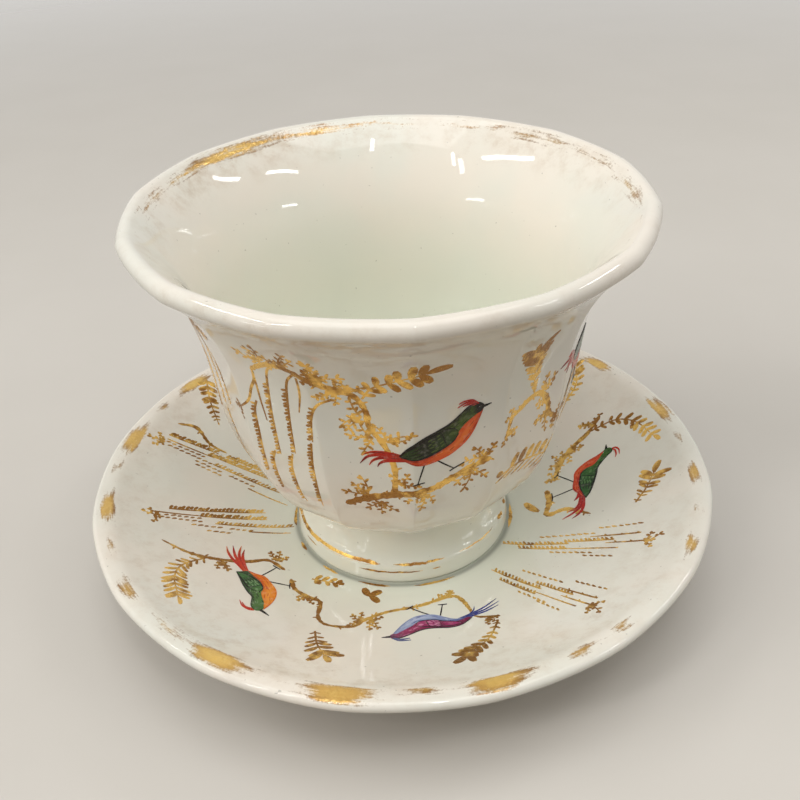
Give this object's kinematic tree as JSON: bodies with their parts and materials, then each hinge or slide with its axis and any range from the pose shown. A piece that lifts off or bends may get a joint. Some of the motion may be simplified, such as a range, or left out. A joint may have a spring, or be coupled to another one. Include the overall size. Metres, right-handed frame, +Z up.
{
  "type": "cup with saucer",
  "caption": "Porcelain breakfast cup with a panelled, flared bowl on a turned foot, standing in the well of a softly lobed saucer; the cup lifts straight off.",
  "frame": {"origin": "on the table, at the middle of the saucer's foot ring", "axes": "+Z up along the axis that the cup and the saucer share; -Y is the side towards the viewer"},
  "size_m": [0.159, 0.159, 0.0986],
  "materials": {
    "saucer_glaze": "warm white hard-paste porcelain under a glossy, slightly green clear glaze, with painted birds and worn gilding",
    "foot_glaze": "warm white porcelain under a glossy clear glaze, with a worn gilt line above the base",
    "bowl_glaze": "warm white hard-paste porcelain under a glossy, slightly green clear glaze, painted and gilded outside, gilding worn at the lip"
  },
  "bodies": {
    "saucer": {"saucer": "saucer_glaze"},
    "cup": {"cup_foot": "foot_glaze", "cup_bowl": "bowl_glaze"}
  },
  "joints": [
    {"name": "cup_lift", "type": "slide", "parent": "saucer", "child": "cup", "axis": [0, 0, 1], "range_m": [0, 0.12]}
  ]
}
